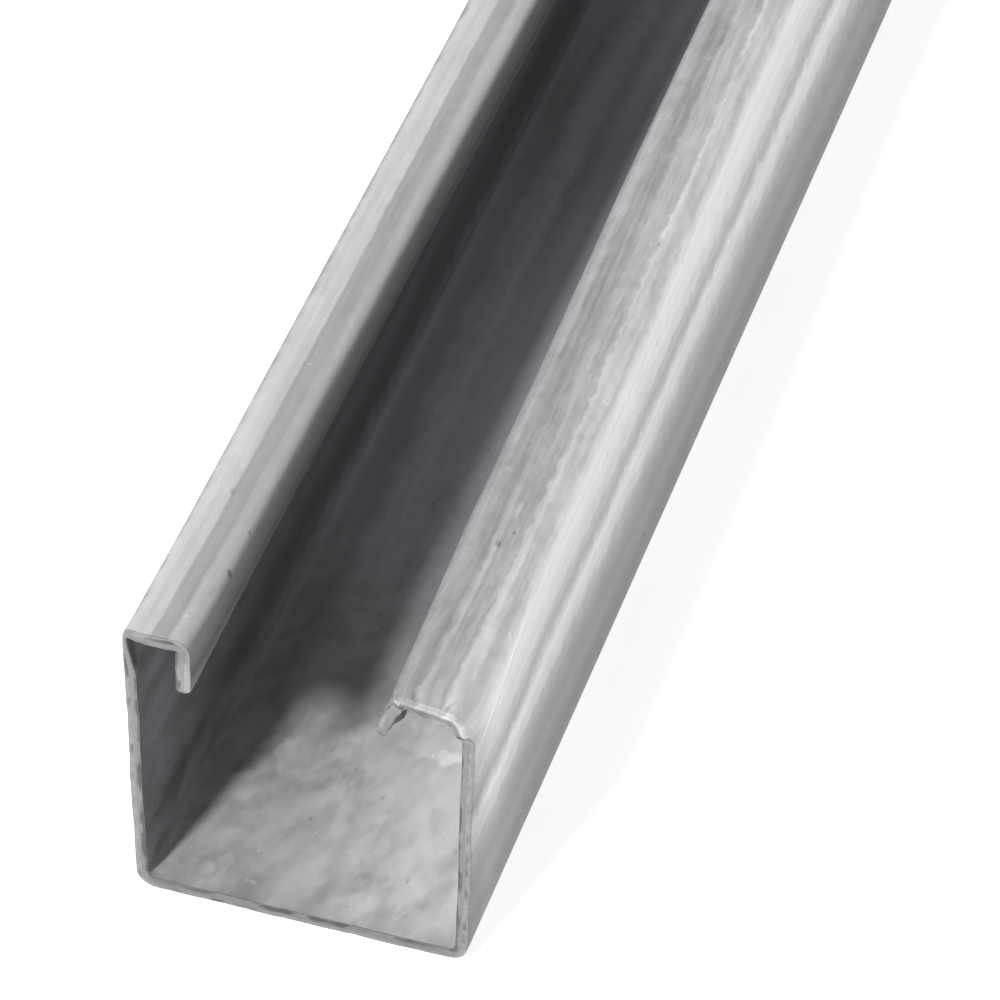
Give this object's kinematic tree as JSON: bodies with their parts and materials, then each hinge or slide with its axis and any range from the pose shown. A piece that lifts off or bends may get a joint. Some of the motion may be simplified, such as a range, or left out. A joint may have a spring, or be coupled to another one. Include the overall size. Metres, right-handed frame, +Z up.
{
  "type": "strut channel",
  "caption": "Straight cut length of galvanised steel strut channel: plain back, side walls and inturned flanges ending in downturned lips along an open slot.",
  "frame": {"origin": "on the underside of the back, midway between the side walls, at half the length", "axes": "+Y along the length, +Z up from the back towards the open slot, +X across"},
  "size_m": [0.0412, 1, 0.0413],
  "materials": {
    "galvanised_steel": "galvanised, semi-dull, streaked along the length"
  },
  "bodies": {
    "root": {"channel": "galvanised_steel"}
  },
  "joints": []
}
